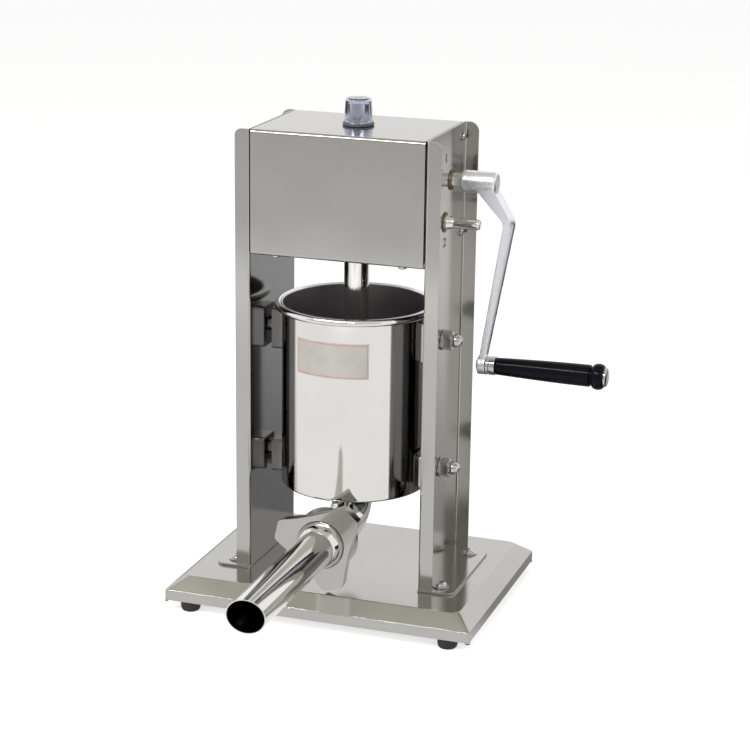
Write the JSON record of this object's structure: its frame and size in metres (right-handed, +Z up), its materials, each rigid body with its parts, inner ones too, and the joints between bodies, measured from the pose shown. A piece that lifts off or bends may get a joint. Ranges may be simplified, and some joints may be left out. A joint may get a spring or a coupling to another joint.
{
  "type": "sausage stuffer",
  "caption": "Upright hand-cranked sausage stuffer: a steel can between two channel posts on a pan base, with a rack-driven piston, a two-speed gearbox and a front filling nozzle.",
  "frame": {"origin": "middle of the footprint of the whole object, nozzle and crank included, at the level of the soles of the feet", "axes": "+Z up, the nozzle points along -Y, the crank is on the +X side"},
  "size_m": [0.3954, 0.402, 0.4874],
  "materials": {
    "brushed_sheet": "brushed stainless sheet",
    "polished_steel": "fine brushed to polished stainless steel",
    "machined_steel": "machined, lightly oiled",
    "fastener_steel": "bright stainless fasteners",
    "cast_aluminium": "tumbled casting",
    "bronze": "sintered bronze",
    "black_grip": "glossy",
    "black_nylon": "satin",
    "pale_nylon": "satin",
    "clear_cap": "clear, glossy",
    "silicone": "translucent white silicone",
    "rubber_foot": "matte black rubber"
  },
  "bodies": {
    "stand": {"base_pan": "brushed_sheet", "foot_front_left": "rubber_foot", "foot_front_right": "rubber_foot", "foot_rear_right": "rubber_foot", "foot_rear_left": "rubber_foot", "left_post": "brushed_sheet", "right_post": "brushed_sheet", "post_bolt_1": "fastener_steel", "post_bolt_2": "fastener_steel", "post_bolt_3": "fastener_steel", "post_bolt_4": "fastener_steel", "gearbox_cover": "brushed_sheet", "gear_frame": "machined_steel", "cover_screw_1": "fastener_steel", "cover_screw_2": "fastener_steel", "cover_screw_3": "fastener_steel", "cover_screw_4": "fastener_steel", "case_screw_left_lower": "fastener_steel", "case_screw_left_upper": "fastener_steel", "case_screw_right_lower": "fastener_steel", "case_screw_right_upper": "fastener_steel", "left_bush": "bronze", "right_bush": "bronze", "slow_outer_bush": "bronze", "slow_inner_bush": "bronze", "top_guide_bush": "black_nylon", "floor_guide_bush": "pale_nylon", "cylinder": "polished_steel", "stud_left_lower": "fastener_steel", "stud_left_upper": "fastener_steel", "stud_right_lower": "fastener_steel", "stud_right_upper": "fastener_steel", "acorn_nut_left_lower": "fastener_steel", "acorn_nut_left_upper": "fastener_steel", "acorn_nut_right_lower": "fastener_steel", "acorn_nut_right_upper": "fastener_steel", "spout": "polished_steel"},
    "crank": {"drive_shaft": "polished_steel", "rack_pinion": "machined_steel", "bull_gear": "machined_steel", "crank_arm": "cast_aluminium", "crank_set_screw": "machined_steel", "grip_spindle": "fastener_steel", "grip_end_cap": "fastener_steel"},
    "crank_grip": {"grip": "black_grip", "grip_ferrule": "polished_steel"},
    "rack": {"rack_bar": "polished_steel", "piston": "pale_nylon", "piston_seal": "silicone", "piston_nut": "fastener_steel"},
    "rack_top_cap": {"rack_cap": "clear_cap"},
    "slow_drive": {"slow_shaft": "polished_steel", "slow_pinion": "machined_steel"},
    "filling_nozzle": {"nozzle": "polished_steel", "nozzle_gasket": "silicone"},
    "winged_nut": {"nozzle_nut": "polished_steel"}
  },
  "joints": [
    {"name": "crank_turn", "type": "hinge", "parent": "stand", "child": "crank", "pos_m": [-0.04525, 0.10366, 0.4136], "axis": [-1, 0, 0], "range_deg": [0, 900]},
    {"name": "rack_lift", "type": "slide", "parent": "stand", "child": "rack", "axis": [0, 0, 1], "range_m": [0, 0.1885]},
    {"name": "slow_shaft_turn", "type": "hinge", "parent": "stand", "child": "slow_drive", "pos_m": [-0.04525, 0.08466, 0.37727], "axis": [-1, 0, 0], "range_deg": [-2455, 0]},
    {"name": "grip_spin", "type": "hinge", "parent": "crank", "child": "crank_grip", "pos_m": [0.13, 0.10366, 0.2386], "axis": [1, 0, 0], "continuous": true},
    {"name": "cap_lift", "type": "slide", "parent": "rack", "child": "rack_top_cap", "axis": [0, 0, 1], "range_m": [0, 0.03]},
    {"name": "nozzle_pull", "type": "slide", "parent": "stand", "child": "filling_nozzle", "axis": [0, -1, 0], "range_m": [0, 0.06]},
    {"name": "nut_turn", "type": "hinge", "parent": "filling_nozzle", "child": "winged_nut", "pos_m": [-0.04525, -0.005, 0.0803], "axis": [0, -1, 0], "continuous": true}
  ],
  "couplings": [
    {"joint": "rack_lift", "follows": "crank_turn", "m_per_rad": 0.012},
    {"joint": "slow_shaft_turn", "follows": "crank_turn", "ratio": -2.7273}
  ]
}
